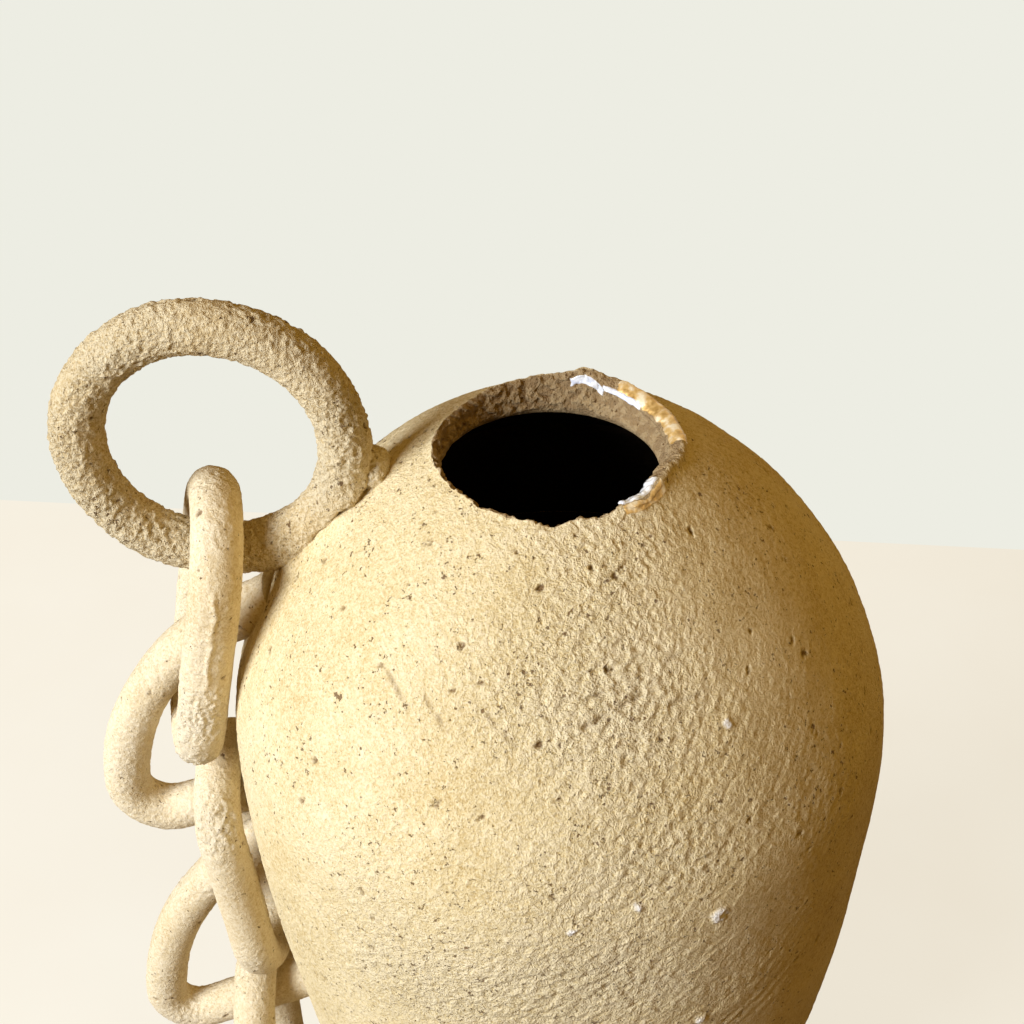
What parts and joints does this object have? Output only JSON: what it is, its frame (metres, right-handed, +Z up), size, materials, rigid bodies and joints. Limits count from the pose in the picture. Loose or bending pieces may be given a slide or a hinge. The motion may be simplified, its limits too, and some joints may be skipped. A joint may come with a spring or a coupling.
{
  "type": "vase",
  "caption": "Hand-built stoneware shoulder jar with a coil ring on one shoulder, drooping coil ears down that side and loose clay links hanging through them as a chain.",
  "frame": {"origin": "centre of the flat foot, on the surface that the jar stands on", "axes": "+Z up along the jar's axis, -X towards the ring and chain, -Y towards the front"},
  "size_m": [0.1898, 0.15, 0.2815],
  "materials": {
    "clay": "matt, coarse grogged body",
    "raw_clay": "matt, torn edge",
    "pale_clay": "matt, smoothed by hand",
    "gold_lustre": "satin metallic lustre",
    "white_glaze": "gloss"
  },
  "bodies": {
    "jar": {"foot_slab": "clay", "wall_tier_1": "clay", "wall_tier_2": "clay", "wall_tier_3": "clay", "shoulder_tier_1": "clay", "shoulder_tier_2": "clay", "lip_coil": "raw_clay", "lip_gilding": "gold_lustre", "lip_glaze": "white_glaze", "shoulder_ring": "clay", "ring_wad": "clay", "upper_ear": "pale_clay", "lower_ear": "pale_clay"},
    "upper_link": {"upper_link": "pale_clay"},
    "middle_link": {"middle_link": "pale_clay"},
    "lower_link": {"lower_link": "pale_clay"}
  },
  "joints": [
    {"name": "upper_swing", "type": "hinge", "parent": "jar", "child": "upper_link", "pos_m": [-0.07552, 0, 0.22042], "axis": [0.9911, 0, -0.1331], "range_deg": [-4, 4]},
    {"name": "middle_swing", "type": "hinge", "parent": "jar", "child": "middle_link", "pos_m": [-0.08113, 0, 0.1432], "axis": [0.9455, 0, 0.3256], "range_deg": [-4, 4]},
    {"name": "lower_swing", "type": "hinge", "parent": "jar", "child": "lower_link", "pos_m": [-0.08221, 0, 0.06495], "axis": [0.9063, 0, 0.4226], "range_deg": [-25, 25]}
  ]
}
